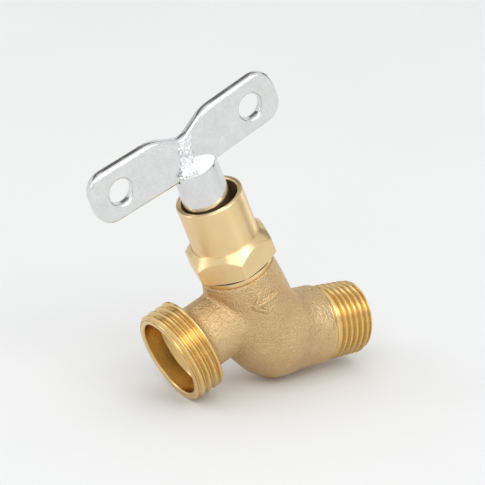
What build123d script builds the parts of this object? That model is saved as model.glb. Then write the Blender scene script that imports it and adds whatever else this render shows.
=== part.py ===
"""Loose-key hose bib: half-inch taper-thread inlet, three-quarter-inch hose-thread outlet.

Row frame, mm: the inlet axis is X, +X pointing out of the inlet thread. The origin is on that
axis at the thread's hand-tight plane. The stem and outlet axes lie in the XZ plane, +Z is up.
"""
from build123d import *
from math import cos, radians, sin, sqrt
import os

os.makedirs("parts", exist_ok=True)

# ---- axes and reaches ----
lean = 23.5             # the stem leans forward by this, and the outlet droops by it
hand_tight = 8.13       # hand-tight plane back from the inlet's end face
inlet_reach = 30.0      # inlet end face to the stem axis
outlet_rise = 11.5      # along the stem, from the inlet axis to the outlet axis
outlet_reach = 28.7     # stem axis to the hose-thread end face

# ---- inlet taper pipe thread ----
pipe_pitch = 25.4 / 14
pipe_r = 10.47          # crest radius at the hand-tight plane
pipe_taper = 1 / 32     # radius per length
pipe_depth = 1.15
pipe_turns = 7
pipe_land = 0.34
collar_r = 11.15
inlet_bore_r = 6.5
inlet_face_r = 9.35     # outer edge of the end face

# ---- outlet hose thread ----
hose_pitch = 25.4 / 11.5
hose_r = 13.49
hose_depth = 1.25
hose_turns = 3
hose_land = 0.5
hose_ring = 8.6         # threaded ring's length
hose_face_r = 12.7      # outer edge of the flat face that the hose washer seals on
mouth_r = 11.0
mouth_deep = 5.2
spout_r = 9.3
spout_bore_r = 6.9

# ---- casting, heights along the stem axis from the inlet axis ----
bulb_r = 12.6
bulb_back = 2.9         # the bulb's centre sits this far off the stem axis, away from the outlet
bulb_drop = 0.5
neck_foot_r = 12.0      # the neck swells to this and closes as a ball under the seat
neck_foot_z = 4.0
neck_top_r = 10.45
land_z = 24.2           # foot of the machined land on top of the neck
land_r = 10.3
neck_z = 25.8           # top face of the body
chamber_r = 8.5
seat_z = 4.0
seat_r = 5.6
seat_rim_r = 7.0
lower_r, lower_z = 7.7, -1.6    # the round chamber under the seat
seat_floor_z = seat_z - 2.6
lower_edge = sqrt(lower_r ** 2 - (seat_floor_z - lower_z) ** 2)

# ---- bonnet with lockshield ----
bonnet_thread_r = 8.45
bonnet_foot_z = 16.0
hex_z = 26.6
hex_h = 8.2
hex_af = 22.0
hex_corner_r = hex_af / sqrt(3)
hex_turn = 13.5
cone_r, cone_w, cone_h = 9.85, 3.35, 4.4     # the cone's inner edge, and its width and height
tube_r = 9.4
tube_bore_r = 8.0
rim_z = 48.65
nut_bore_r = 5.05       # stem thread runs in this
box_r = 6.0             # packing box
box_z = 26.5
gland_z = 32.0          # the packing nut's thread starts here
nut_seat_z = 35.3       # floor of the shield tube, under the packing nut's hexagon
gland_thread_r = 6.9

# ---- stem, packing and disc ----
thread_r = 4.95
thread_pitch = 2.54
shaft_r = 4.3
square_af = 6.35
ring_z, ring_h = 27.3, 2.0      # foot and height of the packing rings
nut_z = 32.4                    # foot of the packing nut, on the gland
nut_af = 12.7
screw_r = 2.1
square_z = 37.9
stem_top_z = 44.5
thread_top_z = 19.9     # highest crest, which still clears the packing washer with the valve open
washer_r = 7.0
washer_t = 3.2
washer_z = seat_z + 1.0         # just clear of the seat rim
holder_r = 7.6
journal_r, journal_z = 3.0, 8.25        # the stem's lower end, on which the holder swivels

# ---- loose key ----
key_off = 0.75          # the key hangs against the low side of its play
barrel_z0, barrel_z1 = 38.0, 59.8
barrel_r0, barrel_r1 = 6.95, 6.35
socket_af = 7.93
socket_deep = stem_top_z - barrel_z0 + 0.2
plate_t = 3.2
plate_l = 61.0
plate_h = 15.7
plate_off = 0.75        # plate sits this far off the barrel's axis
slot_deep = 2.0
corner_r = 5.6
wing_rise = 0.95        # each wing's end over its root
notch_w, notch_deep = 8.6, 4.5
shoulder_r, notch_r = 12.0, 4.0     # rounding beside the notch and at its bottom
hole_r = 3.55
hole_pitch = 43.6
hole_h = 8.15

# ---- frames ----
S = Vector(-sin(radians(lean)), 0, cos(radians(lean)))      # up the stem
Q = Vector(cos(radians(lean)), 0, sin(radians(lean)))       # across it, away from the outlet
crossing = Vector(hand_tight - inlet_reach, 0, 0)           # stem axis meets inlet axis
inlet_end = hand_tight
stem_axis = Axis(crossing, S)
outlet_foot = crossing + S * outlet_rise
outlet_axis = Axis(outlet_foot, Q * -1)
stem_half = Plane(origin=crossing, x_dir=Q, z_dir=(0, -1, 0))           # x across, y up the stem
outlet_half = Plane(origin=outlet_foot, x_dir=Q * -1, z_dir=(0, 1, 0))  # x out, y up the stem
key_foot = crossing - Q * key_off
key_axis = Axis(key_foot, S)
key_half = Plane(origin=key_foot, x_dir=Q, z_dir=(0, -1, 0))


def across_stem(z, foot=crossing):
    return Plane(origin=foot + S * z, x_dir=Q, z_dir=S)


def crests(first, pitch, turns, radius, depth, land, root, step):
    """Thread outline from the first crest inward, one flat crest and one flat root per turn."""
    points = []
    for i in range(turns):
        c = first + step * i * pitch
        r = radius(c)
        points += [(c - step * land / 2, r), (c + step * land / 2, r)]
        g = c + step * pitch / 2
        points += [(g - step * root / 2, r - depth), (g + step * root / 2, r - depth)]
    return points


def solid_of_rings(plane, axis, outline):
    """One turned solid; the outline is (x, y) points in the plane."""
    with BuildSketch(plane) as section:
        with BuildLine():
            Polyline(*outline, close=True)
        make_face()
    revolve(section.sketch, axis=axis)


def tube(z0, z1, outer, inner):
    return [(inner, z0), (outer, z0), (outer, z1), (inner, z1)]


def save(name, part):
    part.label = name
    export_step(part, f"parts/{name}.step")


# ---- body casting ----
first_pipe = inlet_end - 0.95
pipe_run = crests(first_pipe, pipe_pitch, pipe_turns, lambda x: pipe_r - x * pipe_taper,
                  pipe_depth, pipe_land, 0.25, -1)
first_hose = outlet_reach - 1.3
hose_run = crests(first_hose, hose_pitch, hose_turns, lambda x: hose_r, hose_depth, hose_land, 0.4, -1)

with BuildPart() as body:
    with BuildSketch(Plane.XZ):
        with BuildLine():
            Polyline(
                (inlet_end, 0), (inlet_end, inlet_face_r), *pipe_run,
                (pipe_run[-1][0] - 0.9, collar_r - 0.35), (pipe_run[-1][0] - 1.5, collar_r),
                (crossing.X, collar_r), (crossing.X, 0), close=True)
        make_face()
    revolve(axis=Axis.X)
    with Locations(crossing + Q * bulb_back - S * bulb_drop):
        Sphere(bulb_r)
    with BuildSketch(stem_half):
        with BuildLine():
            ThreePointArc((0, neck_foot_z - neck_foot_r),
                          (neck_foot_r * sin(radians(45)), neck_foot_z - neck_foot_r * cos(radians(45))),
                          (neck_foot_r, neck_foot_z))
            TangentArc((neck_foot_r, neck_foot_z), (neck_top_r, land_z - 0.6), tangent=(0, 1))
            Polyline((neck_top_r, land_z - 0.6), (neck_top_r - 0.4, land_z), (0, land_z),
                     (0, neck_foot_z - neck_foot_r))
        make_face()
    revolve(axis=stem_axis)
    with BuildSketch(outlet_half):
        with BuildLine():
            Polyline((0, 0), (0, spout_r), (outlet_reach - hose_ring + 0.5, spout_r),
                     (outlet_reach - hose_ring + 0.5, 0), close=True)
        make_face()
    revolve(axis=outlet_axis)
    fillet([e for e in body.edges() if e.geom_type == GeomType.BSPLINE], 2.0)
    # threaded ring on the spout and turned land on the neck
    solid_of_rings(outlet_half, outlet_axis, [
        (outlet_reach, 0), (outlet_reach, hose_face_r), *hose_run,
        (outlet_reach - hose_ring + 1.3, hose_r - 0.05), (outlet_reach - hose_ring + 0.3, hose_r - 0.05),
        (outlet_reach - hose_ring, 13.1), (outlet_reach - hose_ring, 11.0),
        (outlet_reach - hose_ring - 1.2, 9.6), (outlet_reach - hose_ring - 2.6, spout_r - 0.02),
        (outlet_reach - hose_ring - 2.6, 0)])
    solid_of_rings(stem_half, stem_axis, tube(land_z - 1.0, neck_z, land_r, 7.0))
    # upper chamber with the bonnet's thread, outlet way, inlet way, lower chamber and seat
    with BuildSketch(stem_half):
        with BuildLine():
            Polyline((0, seat_z), (chamber_r, seat_z), (chamber_r, neck_z - 0.5),
                     (chamber_r + 0.5, neck_z), (chamber_r + 0.5, neck_z + 2), (0, neck_z + 2), close=True)
        make_face()
    revolve(axis=stem_axis, mode=Mode.SUBTRACT)
    with BuildSketch(outlet_half):
        with BuildLine():
            Polyline((0, 0), (0, spout_bore_r), (outlet_reach - 9.6, spout_bore_r),
                     (outlet_reach - mouth_deep, mouth_r), (outlet_reach - 0.4, mouth_r),
                     (outlet_reach, mouth_r + 0.3), (outlet_reach + 2, mouth_r + 0.3),
                     (outlet_reach + 2, 0), close=True)
        make_face()
    revolve(axis=outlet_axis, mode=Mode.SUBTRACT)
    with BuildSketch(Plane.XZ):
        with BuildLine():
            Polyline((inlet_end + 2, 0), (inlet_end + 2, inlet_bore_r + 0.6), (inlet_end, inlet_bore_r + 0.6),
                     (inlet_end - 0.6, inlet_bore_r), (crossing.X + 6, inlet_bore_r),
                     (crossing.X + 6, 0), close=True)
        make_face()
    revolve(axis=Axis.X, mode=Mode.SUBTRACT)
    with BuildSketch(stem_half):
        with BuildLine():
            Line((0, lower_z - lower_r), (0, seat_floor_z))
            Line((0, seat_floor_z), (lower_edge, seat_floor_z))
            RadiusArc((lower_edge, seat_floor_z), (0, lower_z - lower_r), lower_r)
        make_face()
    revolve(axis=stem_axis, mode=Mode.SUBTRACT)
    with BuildSketch(across_stem(-2)):
        Circle(seat_r)
    extrude(amount=8, mode=Mode.SUBTRACT)
    # raised seat rim
    solid_of_rings(stem_half, stem_axis,
                   [(seat_r, seat_z - 0.5), (seat_rim_r + 0.8, seat_z - 0.5), (seat_rim_r, seat_z + 0.9),
                    (seat_r, seat_z + 0.9)])
save("body", body.part)

# ---- bonnet: threaded spigot, hexagon and lockshield tube in one piece ----
bonnet_run = crests(25.0, 1.5, 4, lambda z: bonnet_thread_r, 0.7, 0.3, 0.3, -1)
with BuildPart() as bonnet:
    solid_of_rings(stem_half, stem_axis, [
        (nut_bore_r + 0.5, bonnet_foot_z), (6.7, bonnet_foot_z), (7.0, bonnet_foot_z + 0.3), (7.0, 18.2),
        *reversed([(r, z) for z, r in bonnet_run]), (7.7, 25.6), (7.7, hex_z), (hex_af / 2, hex_z),
        (hex_af / 2, hex_z + 2), (cone_r, hex_z + hex_h), (tube_r + 0.3, hex_z + hex_h),
        (tube_r, hex_z + hex_h + 0.3), (tube_r, rim_z - 0.2), (tube_r - 0.2, rim_z),
        (tube_bore_r + 0.3, rim_z), (tube_bore_r, rim_z - 0.3), (tube_bore_r, nut_seat_z),
        (gland_thread_r, nut_seat_z), (gland_thread_r, gland_z), (box_r, gland_z), (box_r, box_z),
        (nut_bore_r + 0.25, box_z), (nut_bore_r + 0.25, 22.5), (nut_bore_r, 22.3),
        (nut_bore_r, bonnet_foot_z + 0.5)])
    with BuildSketch(across_stem(hex_z)):
        RegularPolygon(hex_af / 2, 6, major_radius=False, rotation=hex_turn)
        Circle(hex_af / 2 - 1, mode=Mode.SUBTRACT)
    extrude(amount=hex_h)
    # a turned cone over the hexagon's upper corners and a small chamfer under the lower ones
    flat_r = hex_af / 2 - 0.35
    with BuildSketch(stem_half):
        with BuildLine():
            Polyline((cone_r, hex_z + hex_h), (cone_r + cone_w, hex_z + hex_h - cone_h),
                     (cone_r + cone_w, hex_z + hex_h + 1), (cone_r, hex_z + hex_h + 1), close=True)
            Polyline((flat_r, hex_z), (hex_corner_r + 0.6, hex_z + 1.0), (hex_corner_r + 0.6, hex_z - 1),
                     (flat_r, hex_z - 1), close=True)
        make_face()
    revolve(axis=stem_axis, mode=Mode.SUBTRACT)
save("bonnet", bonnet.part)

# ---- soft and loose rings round the stem ----
for name, outline in {
    "bonnet_gasket": tube(neck_z, hex_z, 10.1, 7.75),
    "packing_washer": tube(box_z, ring_z, box_r - 0.05, shaft_r + 0.1),
    "packing_ring_low": tube(ring_z, ring_z + ring_h, box_r - 0.02, shaft_r + 0.03),
    "packing_ring_high": tube(ring_z + ring_h, ring_z + 2 * ring_h, box_r - 0.02, shaft_r + 0.03),
    "gland": tube(ring_z + 2 * ring_h, nut_z, box_r - 0.05, shaft_r + 0.1),
    "seat_washer": tube(washer_z, washer_z + washer_t, washer_r, screw_r + 0.15),
}.items():
    with BuildPart() as ring:
        solid_of_rings(stem_half, stem_axis, outline)
    save(name, ring.part)

# ---- packing nut ----
nut_run = crests(nut_seat_z - 0.3, 1.25, 2, lambda z: gland_thread_r - 0.05, 0.5, 0.3, 0.25, -1)
nut_hex_z = nut_seat_z + 0.1
nut_top_z = nut_hex_z + 2.2
with BuildPart() as packing_nut:
    solid_of_rings(stem_half, stem_axis, [
        (shaft_r + 0.1, nut_z), (6.3, nut_z), *reversed([(r, z) for z, r in nut_run]),
        (6.3, nut_hex_z), (6.3, nut_top_z), (shaft_r + 0.5, nut_top_z), (shaft_r + 0.1, nut_top_z - 0.4)])
    with BuildSketch(across_stem(nut_hex_z)):
        RegularPolygon(nut_af / 2, 6, major_radius=False)
        Circle(nut_af / 2 - 0.35, mode=Mode.SUBTRACT)
    extrude(amount=nut_top_z - nut_hex_z)
save("packing_nut", packing_nut.part)

# ---- stem: journal, running thread, shaft and square ----
thread_run = crests(thread_top_z, thread_pitch, 4, lambda z: thread_r, 1.0, 0.9, 0.7, -1)
with BuildPart() as stem:
    solid_of_rings(stem_half, stem_axis, [
        (0, 14.5), (screw_r + 0.05, 14.1), (screw_r + 0.05, journal_z), (journal_r, journal_z),
        (journal_r, 9.6), (4.5, 9.6),
        *reversed([(r, z) for z, r in thread_run]), (thread_r - 0.1, thread_top_z + 0.6),
        (shaft_r, thread_top_z + 1.2), (shaft_r, stem_top_z - 0.4), (shaft_r - 0.6, stem_top_z),
        (0, stem_top_z)])
    with BuildSketch(across_stem(square_z)):
        Rectangle(4 * shaft_r, 4 * shaft_r)
        Rectangle(square_af, square_af, mode=Mode.SUBTRACT)
    extrude(amount=stem_top_z, mode=Mode.SUBTRACT)
save("stem", stem.part)

# ---- swivelling washer holder and its screw ----
with BuildPart() as disc_holder:
    solid_of_rings(stem_half, stem_axis, [
        (journal_r + 0.05, 8.2), (washer_r + 0.02, 8.2), (washer_r + 0.02, 6.4), (holder_r, 6.4),
        (holder_r, 9.0), (holder_r - 0.5, 9.5), (journal_r + 0.05, 9.5)])
save("disc_holder", disc_holder.part)

with BuildPart() as washer_screw:
    solid_of_rings(stem_half, stem_axis, [
        (0, 3.3), (2.0, 3.3), (3.0, 3.8), (3.4, 4.6), (3.4, 4.95), (screw_r, 4.95), (screw_r, 13.2),
        (screw_r - 0.6, 13.8), (0, 13.8)])
    with BuildSketch(across_stem(3.2)):
        Rectangle(8, 0.9)
    extrude(amount=0.9, mode=Mode.SUBTRACT)
save("washer_screw", washer_screw.part)

# ---- key barrel ----
with BuildPart() as key_barrel:
    solid_of_rings(key_half, key_axis, [
        (0, barrel_z0), (barrel_r0 - 0.4, barrel_z0), (barrel_r0, barrel_z0 + 0.4),
        (barrel_r1, barrel_z1 - 0.5), (barrel_r1 - 0.15, barrel_z1 - 0.15), (barrel_r1 - 0.5, barrel_z1),
        (0, barrel_z1)])
    with BuildSketch(across_stem(barrel_z0, key_foot)):
        Rectangle(socket_af, socket_af)
    extrude(amount=socket_deep, mode=Mode.SUBTRACT)
    with BuildSketch(across_stem(barrel_z1 - slot_deep, key_foot)):
        Rectangle(4 * barrel_r0, plate_t)
    extrude(amount=slot_deep + 1, mode=Mode.SUBTRACT)
save("key_barrel", key_barrel.part)

# ---- key plate: two raised wings with a rounded notch between them ----
plate_mid = key_foot - Q * plate_off + S * (barrel_z1 - slot_deep)
plate_plane = Plane(origin=plate_mid, x_dir=Q, z_dir=(0, -1, 0))
half = plate_l / 2
with BuildPart() as key_plate:
    with BuildSketch(plate_plane):
        with BuildLine():
            Polyline((0, 0), (half, wing_rise), (half + 0.2, plate_h + wing_rise * 0.8), (notch_w, plate_h),
                     (0, plate_h - notch_deep), (-notch_w, plate_h), (-half - 0.2, plate_h + wing_rise * 0.8),
                     (-half, wing_rise), close=True)
        make_face()
        fillet([v for v in vertices() if abs(v.X) > half - 1], corner_r)
        fillet([v for v in vertices() if abs(abs(v.X) - notch_w) < 0.1], shoulder_r)
        fillet([v for v in vertices() if abs(v.X) < 0.1 and v.Y > hole_h], notch_r)
        with Locations((-hole_pitch / 2, hole_h), (hole_pitch / 2, hole_h)):
            Circle(hole_r, mode=Mode.SUBTRACT)
    extrude(amount=plate_t / 2, both=True)
    chamfer(key_plate.faces().sort_by(Axis.Y)[0].outer_wire().edges(), 0.3)
    chamfer(key_plate.faces().sort_by(Axis.Y)[-1].outer_wire().edges(), 0.3)
save("key_plate", key_plate.part)

# ---- braze on both sides of the plate: a bead along the barrel's top and a rough pad up the plate ----
for name, side in (("braze_front", -1), ("braze_back", 1)):
    braze_foot = key_foot + S * barrel_z1 + Vector(0, side * plate_t / 2, 0)
    with BuildPart() as braze:
        with BuildSketch(Plane(origin=braze_foot, x_dir=Q * -side, z_dir=(0, side, 0))):
            Polygon((-4.2, 0), (4.2, 0), (2.6, 3.0), (2.2, 8.6), (-2.2, 8.9), (-3.0, 3.4), align=None)
        extrude(amount=0.45)
        with BuildSketch(Plane(origin=braze_foot - Q * 5 * side, x_dir=(0, side, 0), z_dir=Q * side)):
            Polygon((0, 0), (1.5, 0), (0.9, 0.7), (0.45, 1.8), (0, 1.8), align=None)
        extrude(amount=10.0)
    save(name, braze.part)
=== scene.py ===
"""Hose bib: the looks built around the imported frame. Lengths are millimetres until a mesh is made."""
from math import acos, cos, pi, radians, sin, tan

import bpy
import numpy as np
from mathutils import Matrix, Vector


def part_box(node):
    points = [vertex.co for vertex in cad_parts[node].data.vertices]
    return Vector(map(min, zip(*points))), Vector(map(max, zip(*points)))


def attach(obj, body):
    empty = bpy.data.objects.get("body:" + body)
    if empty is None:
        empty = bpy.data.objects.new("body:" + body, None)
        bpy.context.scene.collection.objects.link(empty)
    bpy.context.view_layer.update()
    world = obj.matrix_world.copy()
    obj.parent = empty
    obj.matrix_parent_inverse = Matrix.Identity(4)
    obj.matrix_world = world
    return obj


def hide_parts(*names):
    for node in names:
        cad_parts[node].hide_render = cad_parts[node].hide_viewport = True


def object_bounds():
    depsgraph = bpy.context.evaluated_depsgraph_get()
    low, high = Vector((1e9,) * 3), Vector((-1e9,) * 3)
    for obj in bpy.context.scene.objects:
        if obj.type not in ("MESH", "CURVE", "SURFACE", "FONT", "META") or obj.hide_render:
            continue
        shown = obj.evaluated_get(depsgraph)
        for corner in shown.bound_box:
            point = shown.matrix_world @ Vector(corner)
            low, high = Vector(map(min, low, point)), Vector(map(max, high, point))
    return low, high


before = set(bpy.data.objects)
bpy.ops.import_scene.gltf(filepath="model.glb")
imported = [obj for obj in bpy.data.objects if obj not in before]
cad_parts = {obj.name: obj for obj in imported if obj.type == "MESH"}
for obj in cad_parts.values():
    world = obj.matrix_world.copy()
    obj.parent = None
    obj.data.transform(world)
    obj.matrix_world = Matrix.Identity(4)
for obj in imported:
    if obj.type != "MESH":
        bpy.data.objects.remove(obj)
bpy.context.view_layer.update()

import openvdb
from mathutils import Matrix, Vector

MM = 0.001

# ---- axes, as in the CAD frame ----
lean = radians(23.5)
up_stem = np.array((-sin(lean), 0, cos(lean)))
across = np.array((cos(lean), 0, sin(lean)))    # square to the stem, away from the outlet
side = np.array((0.0, 1.0, 0.0))
inlet_end, inlet_long = 8.13, 30.0
crossing = np.array((inlet_end - inlet_long, 0, 0))     # stem axis meets inlet axis
outlet_rise = 11.5
outlet_foot = crossing + outlet_rise * up_stem

# each turned piece's own axes: origin, two directions across, and the way it is measured along
STEM = (crossing, across, side, up_stem)
OUTLET = (outlet_foot, up_stem, side, -across)
INLET = (np.zeros(3), side, np.array((0, 0, 1.0)), np.array((1.0, 0, 0)))

# ---- casting ----
collar_r, collar_end = 11.15, -5.0
bulb_r, bulb_back, bulb_drop = 12.6, 2.9, 0.5
neck_foot_r, neck_foot_z, neck_top_r, neck_top_z = 12.0, 4.0, 10.45, 24.2
spout_r, spout_end, spout_bore_r = 9.3, 20.05, 6.9
flare_start, flare_long, flare_rise = 16.6, 3.4, 1.9    # the spout swells up to its ring
chamber_r, seat_z = 8.5, 4.0
seat_r, seat_middle_z, seat_half_h = 5.6, 2.0, 4.0      # the hole through the seat
rim_middle_r, rim_half_w, rim_middle_z, rim_half_h = 6.4, 0.8, 4.2, 0.7     # the raised seat rim
lower_r, lower_z, lower_roof_z = 7.7, -1.6, 1.4         # the round chamber under the seat
inlet_bore_r, inlet_bore_past = 6.5, 6.0                # the bore stops this far short of the stem axis
blend_bulb, blend_neck, blend_spout = 2.4, 2.2, 1.7     # how softly each meets the barrel
land_r, land_z, land_top = 10.3, 23.3, 25.8
flash_h, flash_w = 0.34, 0.45
arrow_z, arrow_half, arrow_barb, arrow_stroke, arrow_rise = 17.2, 4.0, 2.5, 0.55, 0.75

# ---- threads ----
hose_pitch, hose_r, hose_depth = 25.4 / 11.5, 13.49, 1.15
hose_run_out, hose_end = 20.5, 28.7
hose_face_r, mouth_r, mouth_floor = 12.75, 11.0, 23.5
pipe_pitch, pipe_r, pipe_depth = 25.4 / 14, 10.47, 1.15
pipe_taper = 1 / 32                 # on the radius
pipe_run_out, pipe_face_r = -4.6, 9.35

# ---- bonnet ----
hex_z, hex_h, hex_half, hex_turn = 26.6, 8.2, 11.0, radians(13.5)
chamfer_r, chamfer_h = 9.75, 3.6    # the turned cone over the hexagon's corners
tube_r, tube_bore_r, rim_z = 9.4, 8.0, 48.65
bonnet_foot_z, bonnet_thread_r, bonnet_thread_top, bonnet_pitch = 16.0, 8.45, 25.2, 1.5
relief_r = 7.7
nut_bore_r, box_r, box_z = 5.05, 6.0, 26.5              # the stem thread's bore and the packing box
gland_thread_r, gland_z, nut_seat_z = 6.9, 32.0, 35.3

# ---- key ----
key_off, barrel_top = 0.75, 59.8
plate_foot, plate_off, plate_t, plate_l, plate_h = 57.8, 1.5, 3.2, 61.0, 15.7
notch_w, notch_deep, shoulder_r, notch_r = 8.6, 4.5, 12.0, 4.0
wing_rise, corner_r, hole_r, hole_half, hole_h = 0.95, 5.6, 3.55, 21.8, 8.15
wing_top_out, plate_foot_r = 0.2, 8.0
plate_edge = 0.95       # the rolled edge's radius
column_half_w, column_middle, column_half_h = 2.1, 4.4, 4.7     # the braze on the plate
bead_middle, bead_half, bead_r = -2.6, 2.4, 0.5


# ======== meshes ========
def piece(name, points, faces, finish, body, nodes=(), flats=False):
    """A mesh piece from points in millimetres, riding on its body and standing for CAD nodes."""
    mesh = bpy.data.meshes.new(name)
    mesh.from_pydata((np.asarray(points) * MM).tolist(), [], faces)
    mesh.validate()
    mesh.shade_smooth()
    mesh.materials.append(finish)
    made = bpy.data.objects.new(name, mesh)
    bpy.context.scene.collection.objects.link(made)
    if flats:
        made.modifiers.new("even flats", "WEIGHTED_NORMAL").keep_sharp = False
    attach(made, body)
    if nodes:
        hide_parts(*nodes)
    return made


def rounded(outline, radius, steps=3):
    """A closed outline with each corner eased into a small curve."""
    outline = np.array(outline, float)
    eased = []
    for before, corner, after in zip(np.roll(outline, 1, 0), outline, np.roll(outline, -1, 0)):
        back, on = before - corner, after - corner
        reach_back, reach_on = np.linalg.norm(back), np.linalg.norm(on)
        half = acos(np.clip(back @ on / (reach_back * reach_on), -1, 1)) / 2
        cut = min(radius / tan(max(half, 0.01)), 0.45 * reach_back, 0.45 * reach_on)
        start, end = corner + back / reach_back * cut, corner + on / reach_on * cut
        for t in np.linspace(0, 1, steps + 1):
            eased.append((1 - t) ** 2 * start + 2 * t * (1 - t) * corner + t ** 2 * end)
    return np.array(eased)


def divided(outline, longest):
    """The outline with its long runs split, so that a thread or a hexagon has rows to stand on."""
    rows = []
    for start, end in zip(outline, np.roll(outline, -1, 0)):
        parts = max(1, int(np.ceil(np.linalg.norm(end - start) / longest)))
        rows += [start + (end - start) * k / parts for k in range(parts)]
    return np.array(rows)


def turned(name, axes, outline, finish, body, nodes=(), around=256, shape=None, flats=True):
    """A closed outline of (along, radius) rows, listed clockwise, turned round right-handed axes.
    shape changes the radius by height and angle."""
    origin, first, second, along = axes
    angle = np.arange(around) * 2 * pi / around
    height = np.repeat(outline[:, :1], around, 1)
    radius = np.repeat(outline[:, 1:], around, 1)
    turn = np.repeat(angle[None], len(outline), 0)
    if shape:
        radius = shape(height, radius, turn)
    points = (origin + height[..., None] * along
              + radius[..., None] * (np.cos(turn)[..., None] * first + np.sin(turn)[..., None] * second))
    here = np.arange(len(outline))[:, None] * around + np.arange(around)
    right = np.roll(here, -1, 1)
    quads = np.stack([here, right, np.roll(right, -1, 0), np.roll(here, -1, 0)], -1).reshape(-1, 4)
    return piece(name, points.reshape(-1, 3), quads.tolist(), finish, body, nodes, flats)


def soft_min(a, b, reach):
    """The smaller of the two, with their meeting eased over that reach."""
    near = np.maximum(reach - np.abs(a - b), 0) / reach
    return np.minimum(a, b) - near ** 3 * reach / 6


def soft_max(a, b, reach):
    return -soft_min(-a, -b, reach)


def waves(points, length, count, seed):
    """Smooth seeded unevenness about one unit high, from waves of roughly that length."""
    rng = np.random.default_rng(seed)
    total = 0.0
    for _ in range(count):
        way = rng.normal(size=3)
        way *= 2 * pi / length * rng.uniform(0.7, 1.4) / np.linalg.norm(way)
        total = total + np.sin(sum(w * p for w, p in zip(way, points)) + rng.uniform(0, 2 * pi))
    return total / count ** 0.5


def grid_points(low, high, step):
    """Open x, y and z grids over a box."""
    return np.meshgrid(*[np.arange(a, b, step, dtype=np.float32) for a, b in zip(low, high)],
                       indexing="ij", sparse=True)


def skin(distance, low, step):
    """The surface where the distance is nought, as points and faces."""
    field = openvdb.FloatGrid(3 * step)
    field.copyFromArray(np.ascontiguousarray(np.clip(distance, -3 * step, 3 * step), dtype=np.float32))
    points, triangles, quads = field.convertToPolygons(0.0, 0.0)
    faces = [list(reversed(f)) for f in triangles.tolist() + quads.tolist()]
    return points * step + np.array(low), faces


def outward(points, faces):
    """The faces, turned over if the skin came out inside out."""
    volume = 0.0
    for face in faces[::7]:
        a, b, c = (points[i] for i in face[:3])
        volume += np.dot(np.cross(b - a, c - a), a - points.mean(0))
    return faces if volume > 0 else [f[::-1] for f in faces]


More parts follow.
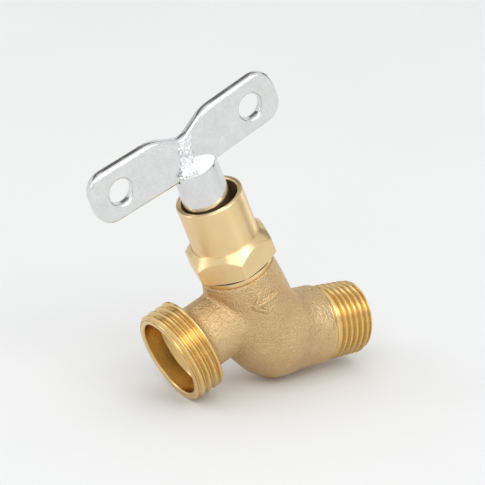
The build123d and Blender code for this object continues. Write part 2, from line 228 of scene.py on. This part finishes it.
# ======== materials ========
class Finish:
    """A node material under construction."""

    def __init__(self, name, colour, metallic, roughness):
        self.material = bpy.data.materials.new(name)
        self.material.use_nodes = True
        self.tree = self.material.node_tree
        self.shader = self.tree.nodes["Principled BSDF"]
        self.shader.inputs["Base Color"].default_value = (*colour, 1)
        self.shader.inputs["Metallic"].default_value = metallic
        self.shader.inputs["Roughness"].default_value = roughness
        self.place = self.tree.nodes.new("ShaderNodeTexCoord").outputs["Object"]

    def node(self, kind, out=0, **inputs):
        """A new node's output; _0 is an input by number, set_... a property, the rest inputs by name."""
        made = self.tree.nodes.new("ShaderNode" + kind)
        for key, value in inputs.items():
            if key.startswith("set_"):
                setattr(made, key[4:], value)
        for key, value in inputs.items():
            if not key.startswith("set_"):
                socket = made.inputs[int(key[1:]) if key[1:].isdigit() else key]
                if isinstance(value, bpy.types.NodeSocket):
                    self.tree.links.new(value, socket)
                else:
                    socket.default_value = value
        return made.outputs[out]

    def noise(self, size, detail=3.0, rough=0.55, place=None, warp=0.0):
        """Noise with features of about that many millimetres."""
        return self.node("TexNoise", Vector=place or self.place, Scale=1 / (size * MM), Detail=detail,
                         Roughness=rough, Distortion=warp)

    def ramp(self, value, *stops):
        """A colour ramp through stops of (place, colour), a colour being one grey or three parts."""
        made = self.tree.nodes.new("ShaderNodeValToRGB")
        self.tree.links.new(value, made.inputs[0])
        ramp = made.color_ramp
        while len(ramp.elements) < len(stops):
            ramp.elements.new(0.5)
        for element, (at, colour) in zip(ramp.elements, stops):
            element.position = at
            element.color = (*colour, 1) if len(colour) == 3 else (colour[0],) * 3 + (1,)
        return made.outputs[0]

    def mix(self, how, share, a, b):
        made = self.tree.nodes.new("ShaderNodeMix")
        made.data_type = "RGBA"
        made.blend_type = how
        for socket, value in ((made.inputs[0], share), (made.inputs[6], a), (made.inputs[7], b)):
            if isinstance(value, bpy.types.NodeSocket):
                self.tree.links.new(value, socket)
            elif isinstance(value, tuple):
                socket.default_value = (*value, 1)
            else:
                socket.default_value = value
        return made.outputs[2]

    def spread(self, value, low, high):
        """The middle of a noise's range carried to low to high."""
        return self.node("MapRange", _0=value, _1=0.3, _2=0.7, _3=low, _4=high)

    def cylinder(self, axes):
        """Height along the axis, the way out from it, and the distance from it."""
        origin, _, _, along = axes
        offset = self.node("VectorMath", set_operation="SUBTRACT", _0=self.place, _1=tuple(origin * MM))
        height = self.node("VectorMath", 1, set_operation="DOT_PRODUCT", _0=offset, _1=tuple(along))
        foot = self.node("VectorMath", set_operation="SCALE", _0=tuple(along), Scale=height)
        away = self.node("VectorMath", set_operation="SUBTRACT", _0=offset, _1=foot)
        return height, away, self.node("VectorMath", 1, set_operation="LENGTH", _0=away)

    def rings(self, axes, stretch):
        """A place that only changes along the axis and with the distance from it, for lathe marks."""
        height, away, radius = self.cylinder(axes)
        lines = self.node("CombineXYZ", X=height, Y=radius)
        drift = self.node("VectorMath", set_operation="SCALE", _0=away, Scale=stretch)
        return self.node("VectorMath", set_operation="ADD", _0=lines, _1=drift)

    def brush(self, axes, amount):
        """Highlights drawn out square to the circles round the axis."""
        circle = self.node("VectorMath", set_operation="CROSS_PRODUCT", _0=tuple(axes[3]),
                           _1=self.cylinder(axes)[1])
        circle = self.node("VectorTransform", set_convert_from="OBJECT", set_convert_to="WORLD",
                           Vector=circle)
        self.tree.links.new(circle, self.shader.inputs["Tangent"])
        self.shader.inputs["Anisotropic"].default_value = amount
        self.shader.inputs["Anisotropic Rotation"].default_value = 0.25

    def colour(self, value):
        self.tree.links.new(value, self.shader.inputs["Base Color"])

    def roughness(self, value):
        self.tree.links.new(value, self.shader.inputs["Roughness"])

    def bump(self, *heights):
        """Bumps in order, each (height, millimetres high, strength)."""
        normal = None
        for height, high, strength in heights:
            made = self.tree.nodes.new("ShaderNodeBump")
            made.inputs["Strength"].default_value = strength
            made.inputs["Distance"].default_value = high * MM
            self.tree.links.new(height, made.inputs["Height"])
            if normal:
                self.tree.links.new(normal, made.inputs["Normal"])
            normal = made.outputs[0]
        self.tree.links.new(normal, self.shader.inputs["Normal"])


def cast_brass():
    f = Finish("cast_brass", (0.72, 0.5, 0.25), 1.0, 0.42)
    grain = f.noise(0.44, 2, 0.6)
    pits = f.noise(0.9, 3, 0.6)
    patches = f.noise(9.0, 4, 0.6)
    tone = f.ramp(patches, (0.3, (0.68, 0.475, 0.245)), (0.55, (0.74, 0.525, 0.275)),
                  (0.75, (0.79, 0.575, 0.31)))
    speck = f.ramp(grain, (0.3, (0.72,)), (0.55, (0.96,)), (0.7, (1.0,)))
    f.colour(f.mix("MULTIPLY", 0.9, tone, speck))
    f.roughness(f.spread(pits, 0.32, 0.44))
    f.bump((grain, 0.36, 1.0), (pits, 0.22, 0.9))
    return f.material


def turned_brass(name, axes, colour, rough=0.3, mark=0.36, brushed=0.8, thread=None):
    """Brass with fine lathe lines round the axis, which draw highlights out across them, and a faint haze.
    A thread's (root radius, crest radius, height of its end) darkens its grooves with painted shade."""
    f = Finish(name, colour, 1.0, rough)
    f.brush(axes, brushed)
    place = f.rings(axes, 0.012)
    lines = f.noise(0.22, 3, 0.7, place=place)
    broad = f.noise(1.6, 2, 0.5, place=place)
    haze = f.noise(5.0, 4, 0.6)
    deep = tuple(c * k for c, k in zip(colour, (0.9, 0.86, 0.78)))
    tone = f.mix("MIX", f.ramp(haze, (0.35, (0.0,)), (0.7, (0.55,))), colour, deep)
    if thread:
        root, crest, end = (v * MM for v in thread)
        height, _, radius = f.cylinder(axes)
        # painted shade: the colour darkens towards the thread's roots, and fades out over the last 0.3 mm
        # before the thread's end
        sunk = f.node("MapRange", _0=radius, _1=root, _2=crest, _3=1.0, _4=0.0)
        inside = f.node("MapRange", _0=height, _1=end - 0.3 * MM, _2=end, _3=1.0, _4=0.0)
        groove_shade = tuple(c * k for c, k in zip(colour, (0.84, 0.79, 0.66)))
        tone = f.mix("MIX", f.node("Math", set_operation="MULTIPLY", _0=sunk, _1=inside), tone, groove_shade)
    f.colour(tone)
    f.roughness(f.spread(f.mix("MIX", 0.5, lines, haze), rough - 0.05, rough + 0.09))
    f.bump((lines, 0.03, mark), (broad, 0.05, 0.25))
    return f.material


def plated():
    f = Finish("plated_key", (0.78, 0.78, 0.78), 1.0, 0.16)
    mottle = f.noise(0.45, 4, 0.65)
    swell = f.noise(9.0, 2, 0.5)
    clouds = f.noise(4.0, 5, 0.65)
    f.colour(f.mix("MULTIPLY", 0.6, f.ramp(clouds, (0.3, (0.73, 0.73, 0.73)), (0.7, (0.82, 0.82, 0.815))),
                   f.ramp(mottle, (0.3, (0.78,)), (0.6, (1.0,)))))
    f.roughness(f.spread(clouds, 0.1, 0.22))
    f.bump((mottle, 0.03, 0.35), (swell, 0.3, 0.25))
    return f.material


def braze_metal():
    f = Finish("key_braze", (0.78, 0.8, 0.83), 1.0, 0.3)
    lumps = f.noise(0.7, 3, 0.6, warp=0.6)
    tint = f.noise(1.3, 3, 0.6)
    f.colour(f.ramp(tint, (0.32, (0.6, 0.61, 0.63)), (0.5, (0.84, 0.845, 0.85)), (0.7, (0.92, 0.92, 0.915))))
    f.roughness(f.spread(tint, 0.2, 0.42))
    f.bump((lumps, 0.22, 0.8))
    return f.material


def rubber():
    f = Finish("black_rubber", (0.03, 0.032, 0.03), 0.0, 0.6)
    bloom = f.noise(0.8, 4, 0.6)
    f.colour(f.ramp(bloom, (0.3, (0.022, 0.024, 0.022)), (0.75, (0.05, 0.052, 0.048))))
    f.roughness(f.spread(bloom, 0.5, 0.72))
    f.bump((bloom, 0.05, 0.4))
    return f.material


def graphite():
    f = Finish("graphite_packing", (0.06, 0.06, 0.065), 0.3, 0.5)
    fibre = f.node("TexWave", Vector=f.place, Scale=400.0, Distortion=3.0, Detail=2.0)
    f.colour(f.ramp(fibre, (0.2, (0.04, 0.04, 0.045)), (0.8, (0.1, 0.1, 0.11))))
    f.roughness(f.spread(fibre, 0.42, 0.62))
    f.bump((fibre, 0.08, 0.5))
    return f.material


def steel():
    f = Finish("screw_steel", (0.5, 0.5, 0.5), 1.0, 0.35)
    stain = f.noise(1.2, 4, 0.6)
    f.colour(f.ramp(stain, (0.3, (0.42, 0.41, 0.4)), (0.7, (0.58, 0.58, 0.57))))
    f.roughness(f.spread(stain, 0.28, 0.45))
    f.bump((stain, 0.03, 0.3))
    return f.material


# ======== the casting ========
def arrow_distance(q, c):
    """Distance in the casting's side plane from a plain arrow that points with the flow."""
    def stroke(q0, c0, q1, c1):
        dq, dc = q1 - q0, c1 - c0
        t = np.clip(((q - q0) * dq + (c - c0) * dc) / (dq * dq + dc * dc), 0, 1)
        return np.hypot(q - q0 - t * dq, c - c0 - t * dc)
    shaft = stroke(arrow_half, arrow_z, -arrow_half, arrow_z)
    barbs = [stroke(-arrow_half, arrow_z, -arrow_half + arrow_barb, arrow_z + k * arrow_barb)
             for k in (-1, 1)]
    return np.minimum(shaft, np.minimum(*barbs)) - arrow_stroke


def casting_distance(x, y, z):
    """Distance to the casting's surface, below nought inside the metal."""
    q = (x - crossing[0]) * across[0] + z * across[2]       # off the stem axis, away from the outlet
    c = (x - crossing[0]) * up_stem[0] + z * up_stem[2]     # up the stem axis
    u = -q                                                  # towards the outlet
    round_stem = np.hypot(q, y)
    round_spout = np.hypot(c - outlet_rise, y)
    round_inlet = np.hypot(y, z)

    barrel = soft_max(round_inlet - collar_r, np.maximum(x - collar_end, crossing[0] - x), 0.8)
    bulb = np.sqrt((q - bulb_back) ** 2 + y ** 2 + (c + bulb_drop) ** 2) - bulb_r
    drop = neck_foot_r - neck_top_r
    curve_r = (drop ** 2 + (neck_top_z - 0.6 - neck_foot_z) ** 2) / (2 * drop)
    upper = np.hypot(round_stem - (neck_foot_r - curve_r), c - neck_foot_z) - curve_r
    lower = np.hypot(round_stem, c - neck_foot_z) - neck_foot_r
    neck = soft_max(np.where(c > neck_foot_z, upper, lower), c - neck_top_z, 0.9)
    flare = flare_rise * np.clip((u - flare_start) / flare_long, 0, 1) ** 2.2
    spout = soft_max(round_spout - spout_r - flare, np.maximum(u - spout_end, -u), 0.5)

    solid = soft_min(barrel, bulb, blend_bulb)
    solid = soft_min(solid, neck, blend_neck)
    solid = soft_min(solid, spout, blend_spout)
    # the flash line where the mould's halves met, worn low in places; then the arrow on the near side
    worn = 0.75 + 0.25 * np.sin(x * 0.9 + z * 0.6)
    solid = solid - flash_h * worn * np.exp(-(y / flash_w) ** 2)
    raised = soft_max(np.maximum(arrow_distance(q, c), y), solid - arrow_rise, 0.3)
    solid = soft_min(solid, raised, 0.25)
    solid = solid + 0.022 * waves((x, y, z), 8.0, 7, 3) + 0.012 * waves((x, y, z), 2.4, 9, 4)

    chamber = np.maximum(round_stem - chamber_r, seat_z - c)
    spout_way = np.maximum(round_spout - spout_bore_r, -u)
    inlet_way = np.maximum(round_inlet - inlet_bore_r, crossing[0] + inlet_bore_past - x)
    under = np.maximum(np.sqrt(q ** 2 + y ** 2 + (c - lower_z) ** 2) - lower_r, c - lower_roof_z)
    seat_way = np.maximum(round_stem - seat_r, np.abs(c - seat_middle_z) - seat_half_h)
    above, below = soft_min(chamber, spout_way, 0.6), soft_min(under, inlet_way, 1.0)
    solid = soft_max(solid, -np.minimum(above, np.minimum(below, seat_way)), 0.3)
    rim = np.maximum(np.abs(round_stem - rim_middle_r) - rim_half_w, np.abs(c - rim_middle_z) - rim_half_h)
    return np.minimum(solid, rim)


def casting(finish):
    low, high = (np.array(corner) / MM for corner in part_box("body"))
    step = 0.3
    low, high = low - 2 * step, high + 2 * step
    distance = casting_distance(*grid_points(low, high, step))
    points, faces = skin(distance, low, step)
    piece("body_casting", points, outward(points, faces), finish, "valve", ["body"])


# ======== threaded ends and the neck's land ========
def helix_depth(height, turn, first, pitch):
    """How deep in the thread a point is, 0 on the crest and 1 in the groove."""
    phase = (height - first) / pitch - turn / (2 * pi)
    off = np.abs(phase - np.round(phase)) * 2
    return soft_max(soft_min((off - 0.08) / 0.74, 1.0, 0.35), 0.0, 0.1)


def faded(height, start, end):
    """A smooth rise from 0 at the start to 1 at the end."""
    t = np.clip((height - start) / (end - start), 0, 1)
    return t * t * (3 - 2 * t)


def hose_ring(finish):
    crest, first = hose_r - 0.03, hose_end - 1.3
    outline = rounded([
        (17.2, 8.8), (spout_end, 8.9), (spout_end + 0.05, 13.05), (spout_end + 0.4, crest),
        (hose_end - 0.75, crest), (hose_end, hose_face_r), (hose_end, mouth_r + 0.35),
        (hose_end - 0.35, mouth_r), (mouth_floor, mouth_r), (19.1, spout_bore_r), (17.2, spout_bore_r)], 0.22)
    outline = divided(outline, 0.11)

    def shape(height, radius, turn):
        threaded = (radius > 12.6) & (height > hose_run_out - 0.3)
        cut = hose_depth * helix_depth(height, turn, first, hose_pitch)
        cut = cut * faded(height, hose_run_out, hose_run_out + 1.1)
        lead = hose_face_r + (hose_end - height) * 1.1
        return np.where(threaded, np.minimum(radius, soft_min(hose_r - cut, lead, 0.3)), radius)

    turned("outlet_thread_ring", OUTLET, outline, finish, "valve", around=384, shape=shape,
           flats=False)


def inlet_nipple(finish):
    outline = rounded([
        (-8.0, inlet_bore_r), (-8.0, 9.8), (-5.4, 10.9), (-5.05, 11.12), (pipe_run_out, 10.62), (7.4, 10.3),
        (inlet_end, pipe_face_r), (inlet_end, 7.1), (inlet_end - 0.6, inlet_bore_r)], 0.18)
    outline = divided(outline, 0.1)

    def shape(height, radius, turn):
        threaded = (radius > 9.0) & (height > pipe_run_out)
        crest = pipe_r - height * pipe_taper
        cut = pipe_depth * helix_depth(height, turn, inlet_end - 0.95, pipe_pitch)
        cut = cut * faded(height, pipe_run_out - 0.3, pipe_run_out + 2.6)
        lead = pipe_face_r + 0.1 + (inlet_end - height) * 0.95
        return np.where(threaded, np.minimum(radius + 0.3, soft_min(crest - cut, lead, 0.3)), radius)

    turned("inlet_nipple", INLET, outline, finish, "valve", around=384, shape=shape,
           flats=False)


def neck_land(finish):
    groove_r, groove_top = land_r - 0.5, neck_top_z + 0.55
    outline = rounded([(land_z, 8.9), (land_z, groove_r), (groove_top, groove_r), (groove_top + 0.1, land_r),
                       (land_top, land_r), (land_top, 9.0), (land_top - 0.5, chamber_r),
                       (land_z, chamber_r)], 0.12)
    turned("neck_land", STEM, divided(outline, 0.4), finish, "valve")


# ======== bonnet ========
def bonnet(finish):
    top = hex_z + hex_h
    outline = rounded([
        (bonnet_foot_z + 0.5, nut_bore_r), (bonnet_foot_z, 5.5), (bonnet_foot_z, 6.7),
        (bonnet_foot_z + 0.3, 7.0), (18.2, 7.0), (19.0, bonnet_thread_r),
        (bonnet_thread_top, bonnet_thread_r), (bonnet_thread_top + 0.4, relief_r), (hex_z, relief_r),
        (hex_z, hex_half - 0.35), (hex_z + 1.0, 13.3), (top - chamfer_h, 13.1), (top, chamfer_r),
        (top, tube_r + 0.12), (top + 0.25, tube_r), (rim_z - 0.25, tube_r), (rim_z, tube_r - 0.25),
        (rim_z, tube_bore_r + 0.3), (rim_z - 0.3, tube_bore_r), (nut_seat_z, tube_bore_r),
        (nut_seat_z, gland_thread_r), (gland_z, gland_thread_r), (gland_z, box_r), (box_z, box_r),
        (box_z, nut_bore_r + 0.25), (22.5, nut_bore_r + 0.25), (22.3, nut_bore_r)], 0.12)
    outline = divided(outline, 0.16)

    def shape(height, radius, turn):
        off = np.abs((turn - hex_turn) % (pi / 3) - pi / 6)     # angle from the middle of a flat
        flat = soft_min(hex_half / np.cos(off), hex_half / np.cos(pi / 3 - off), 0.35)
        wide = radius > hex_half - 0.6
        spigot = (height > 18.6) & (height < bonnet_thread_top + 0.1) & (radius > 8.2)
        cut = 0.7 * helix_depth(height, turn, bonnet_thread_top - 0.2, bonnet_pitch)
        return np.where(wide, soft_min(radius, flat, 0.14), np.where(spigot, radius - cut, radius))

    turned("bonnet_lockshield", STEM, outline, finish, "valve", ["bonnet"], around=720,
           shape=shape)


# ======== key ========
def placed(first, second, third, origin):
    """The matrix that carries x, y and z to three directions from an origin."""
    rows = zip(np.stack([first, second, third], 1), origin)
    return Matrix([(*row, at) for row, at in rows] + [(0, 0, 0, 1)])


def arc_corner(before, corner, after, radius):
    """Points of the true arc that rounds one corner."""
    before, corner, after = (np.array(p, float) for p in (before, corner, after))
    back, on = (way / np.linalg.norm(way) for way in (before - corner, after - corner))
    half = acos(np.clip(back @ on, -1, 1)) / 2
    middle = corner + (back + on) / np.linalg.norm(back + on) * radius / sin(half)
    start, end = corner + back * radius / tan(half), corner + on * radius / tan(half)
    a0, a1 = (np.arctan2(*(p - middle)[::-1]) for p in (start, end))
    sweep = (a1 - a0 + pi) % (2 * pi) - pi
    count = max(4, int(abs(sweep) * radius / 0.25))
    return [middle + radius * np.array((cos(a0 + sweep * t), sin(a0 + sweep * t)))
            for t in np.linspace(0, 1, count + 1)]


def key_plate(finish):
    half, out = plate_l / 2, plate_l / 2 + wing_top_out
    wing = plate_h + 0.8 * wing_rise
    corners = [
        ((half, wing_rise), corner_r), ((out, wing), corner_r), ((notch_w, plate_h), shoulder_r),
        ((0, plate_h - notch_deep), notch_r), ((-notch_w, plate_h), shoulder_r), ((-out, wing), corner_r),
        ((-half, wing_rise), corner_r), ((0, 0), plate_foot_r)]
    edge = []
    for k, (corner, radius) in enumerate(corners):
        edge += arc_corner(corners[k - 1][0], corner, corners[(k + 1) % len(corners)][0], radius)
    loops = [edge]
    for x in (-hole_half, hole_half):
        loops.append([(x + hole_r * cos(t), hole_h + hole_r * sin(t)) for t in np.arange(64) * 2 * pi / 64])

    curve = bpy.data.curves.new("plate_outline", "CURVE")
    curve.dimensions = "2D"
    curve.fill_mode = "BOTH"
    curve.extrude = (plate_t / 2 - plate_edge) * MM
    curve.bevel_depth = plate_edge * MM
    curve.bevel_resolution = 5
    curve.offset = -plate_edge * MM
    for loop in loops:
        spline = curve.splines.new("POLY")
        spline.points.add(len(loop) - 1)
        for point, (x, y) in zip(spline.points, loop):
            point.co = (x * MM, y * MM, 0, 1)
        spline.use_cyclic_u = True
    drawn = bpy.data.objects.new("plate_outline", curve)
    mesh = bpy.data.meshes.new_from_object(drawn)
    bpy.data.objects.remove(drawn)
    foot = crossing - plate_off * across + plate_foot * up_stem
    mesh.transform(placed(across, up_stem, -side, foot * MM))
    points = np.array([v.co for v in mesh.vertices]) / MM
    faces = [list(p.vertices) for p in mesh.polygons]
    bpy.data.meshes.remove(mesh)
    plate = piece("key_wing_plate", points, faces, finish, "key", ["key_plate"], flats=True)
    weld = plate.modifiers.new("joined edges", "WELD")
    weld.merge_threshold = 0.02 * MM
    plate.modifiers.move(1, 0)


def braze(name, node, facing, finish, seed):
    """A rough bead on the outlet's side of the barrel's top, and a lumpy column that leans up the plate."""
    step = 0.13
    low, high = np.array((-6.0, -1.6, -1.0)), np.array((6.0, 11.0, 3.2))
    q, s, t = grid_points(low, high, step)
    lumps = waves((q, s, t), 1.5, 8, seed)
    fine = waves((q, s, t), 0.7, 8, seed + 1)
    middle = -3.3 + 0.34 * s + 0.25 * np.sin(s * 0.9 + seed)
    thick = 0.4 + 1.5 * np.exp(-(s / 1.3) ** 2)             # piled up at the column's foot
    column = soft_max(np.abs(q - middle) - column_half_w, t - thick, 0.7)
    column = soft_max(column, np.abs(s - column_middle) - column_half_h, 0.8)
    bead = np.hypot(np.maximum(np.abs(q - bead_middle) - bead_half, 0), np.hypot(s, t)) - bead_r
    solid = soft_min(column, bead, 0.5) + 0.15 * lumps + 0.1 * fine
    solid = np.maximum(solid, -t - 0.3)
    points, faces = skin(solid, low, step)
    foot = crossing - key_off * across + barrel_top * up_stem + facing * side * plate_t / 2
    world = foot + points[:, :1] * across + points[:, 1:2] * up_stem + points[:, 2:] * side * facing
    piece(name, world, outward(world, faces), finish, "key", [node])


# ======== making ========
light_brass, deep_brass = (0.86, 0.65, 0.355), (0.80, 0.58, 0.27)
stem_brass = turned_brass("turned_brass_stem", STEM, light_brass)
# the thread tuples set where painted shade darkens the thread grooves
ring_brass = turned_brass("turned_brass_outlet", OUTLET, deep_brass, 0.24, 0.24, 0.3,
                          (12.4, 13.4, hose_end - 0.3))
nipple_brass = turned_brass("turned_brass_inlet", INLET, deep_brass, 0.26, 0.24, 0.3,
                            (9.4, 10.35, inlet_end - 0.2))
plating, braze_finish = plated(), braze_metal()

casting(cast_brass())
hose_ring(ring_brass)
inlet_nipple(nipple_brass)
neck_land(stem_brass)
bonnet(stem_brass)
key_plate(plating)
braze("key_braze_front", "braze_front", -1, braze_finish, 11)
braze("key_braze_back", "braze_back", 1, braze_finish, 23)

finishes = {"bonnet_gasket": rubber(), "packing_ring_low": graphite(), "washer_screw": steel(),
            "key_barrel": plating}
finishes["seat_washer"] = finishes["bonnet_gasket"]
finishes["packing_ring_high"] = finishes["packing_ring_low"]
for name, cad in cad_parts.items():
    cad.data.materials.clear()
    cad.data.materials.append(finishes.get(name, stem_brass))

# ======== stage ========
target = np.array((-29.476, 0.568, 28.775)) * MM
azimuth, elevation, roll = radians(-33.54), radians(21.27), radians(1.9)
camera_distance, floor_wide = 0.9875, 6.0
back = np.array((sin(azimuth) * cos(elevation), -cos(azimuth) * cos(elevation), sin(elevation)))
level = np.array((cos(azimuth), sin(azimuth), 0))
upright = np.cross(back, level)
right = cos(roll) * level + sin(roll) * upright
top = cos(roll) * upright - sin(roll) * level
camera = bpy.data.cameras.new("camera")
camera.lens, camera.sensor_width = 269.0, 36.0
camera.clip_end = 20
view = bpy.data.objects.new("camera", camera)
bpy.context.scene.collection.objects.link(view)
view.matrix_world = placed(right, top, back, target + camera_distance * back)
bpy.context.scene.camera = view


def aimed(made, bearing, height, distance):
    """Puts a light or card on the stage, facing the object from a bearing and height in degrees."""
    a, e = radians(bearing), radians(height)
    way = Vector((sin(a) * cos(e), -cos(a) * cos(e), sin(e)))
    bpy.context.scene.collection.objects.link(made)
    made.location = Vector(target) + way * distance
    made.rotation_euler = way.to_track_quat("Z", "Y").to_euler()
    made.visible_camera = False
    return made


def softbox(name, bearing, height, distance, size, power):
    """An area light."""
    light = bpy.data.lights.new(name, "AREA")
    light.shape = "RECTANGLE"
    light.size, light.size_y = size
    light.energy = power
    return aimed(bpy.data.objects.new(name, light), bearing, height, distance)


def card(name, width, height):
    """A flat sheet, middle at nought."""
    w, h = width / 2, height / 2
    mesh = bpy.data.meshes.new(name)
    mesh.from_pydata([(-w, -h, 0), (w, -h, 0), (w, h, 0), (-w, h, 0)], [], [(0, 1, 2, 3)])
    return mesh


def flag(name, bearing, height, distance, size, colour):
    """A dark card that only reflections see."""
    mesh = card(name, *size)
    mesh.materials.append(Finish(name, colour, 0.0, 1.0).material)
    made = aimed(bpy.data.objects.new(name, mesh), bearing, height, distance)
    made.visible_diffuse = made.visible_shadow = made.visible_transmission = False


floor_mesh = card("floor", floor_wide, floor_wide)
floor_mesh.transform(Matrix.Translation((0, 0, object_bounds()[0].z)))
floor = bpy.data.objects.new("floor", floor_mesh)
bpy.context.scene.collection.objects.link(floor)
paper = Finish("paper", (0.80, 0.80, 0.79), 0.0, 0.9)
paper.colour(paper.ramp(paper.noise(60, 2), (0.2, (0.795, 0.795, 0.785)), (0.8, (0.81, 0.81, 0.80))))
floor_mesh.materials.append(paper.material)

softbox("top", -60, 72, 2.0, (1.8, 1.4), 2.5)
softbox("front", -14, 45, 1.2, (1.7, 0.46), 4.7)
softbox("left", -118, 26, 1.3, (0.35, 1.0), 1.6)
softbox("right", 97, 4, 1.4, (0.35, 0.5), 0.9)
for shine in (softbox("strip", 14, 2, 1.2, (0.16, 0.5), 0.5),
              softbox("glint", -3, 54, 1.3, (0.45, 0.4), 1.8)):
    shine.visible_diffuse = False
flag("flag_edge", 175, 37, 1.0, (1.8, 0.2), (0.10, 0.09, 0.08))
flag("flag_back", 176, 4, 1.0, (1.0, 0.3), (0.34, 0.27, 0.18))
flag("flag_right", 68, 10, 1.0, (0.3, 0.9), (0.16, 0.13, 0.09))
flag("flag_green", 104, 33, 0.9, (0.34, 0.34), (0.012, 0.025, 0.016))

world = bpy.data.worlds.new("studio")
world.use_nodes = True
world.node_tree.nodes["Background"].inputs[0].default_value = (0.97, 0.985, 1.0, 1)
world.node_tree.nodes["Background"].inputs[1].default_value = 0.9
bpy.context.scene.world = world
bpy.context.scene.view_settings.view_transform = "Standard"
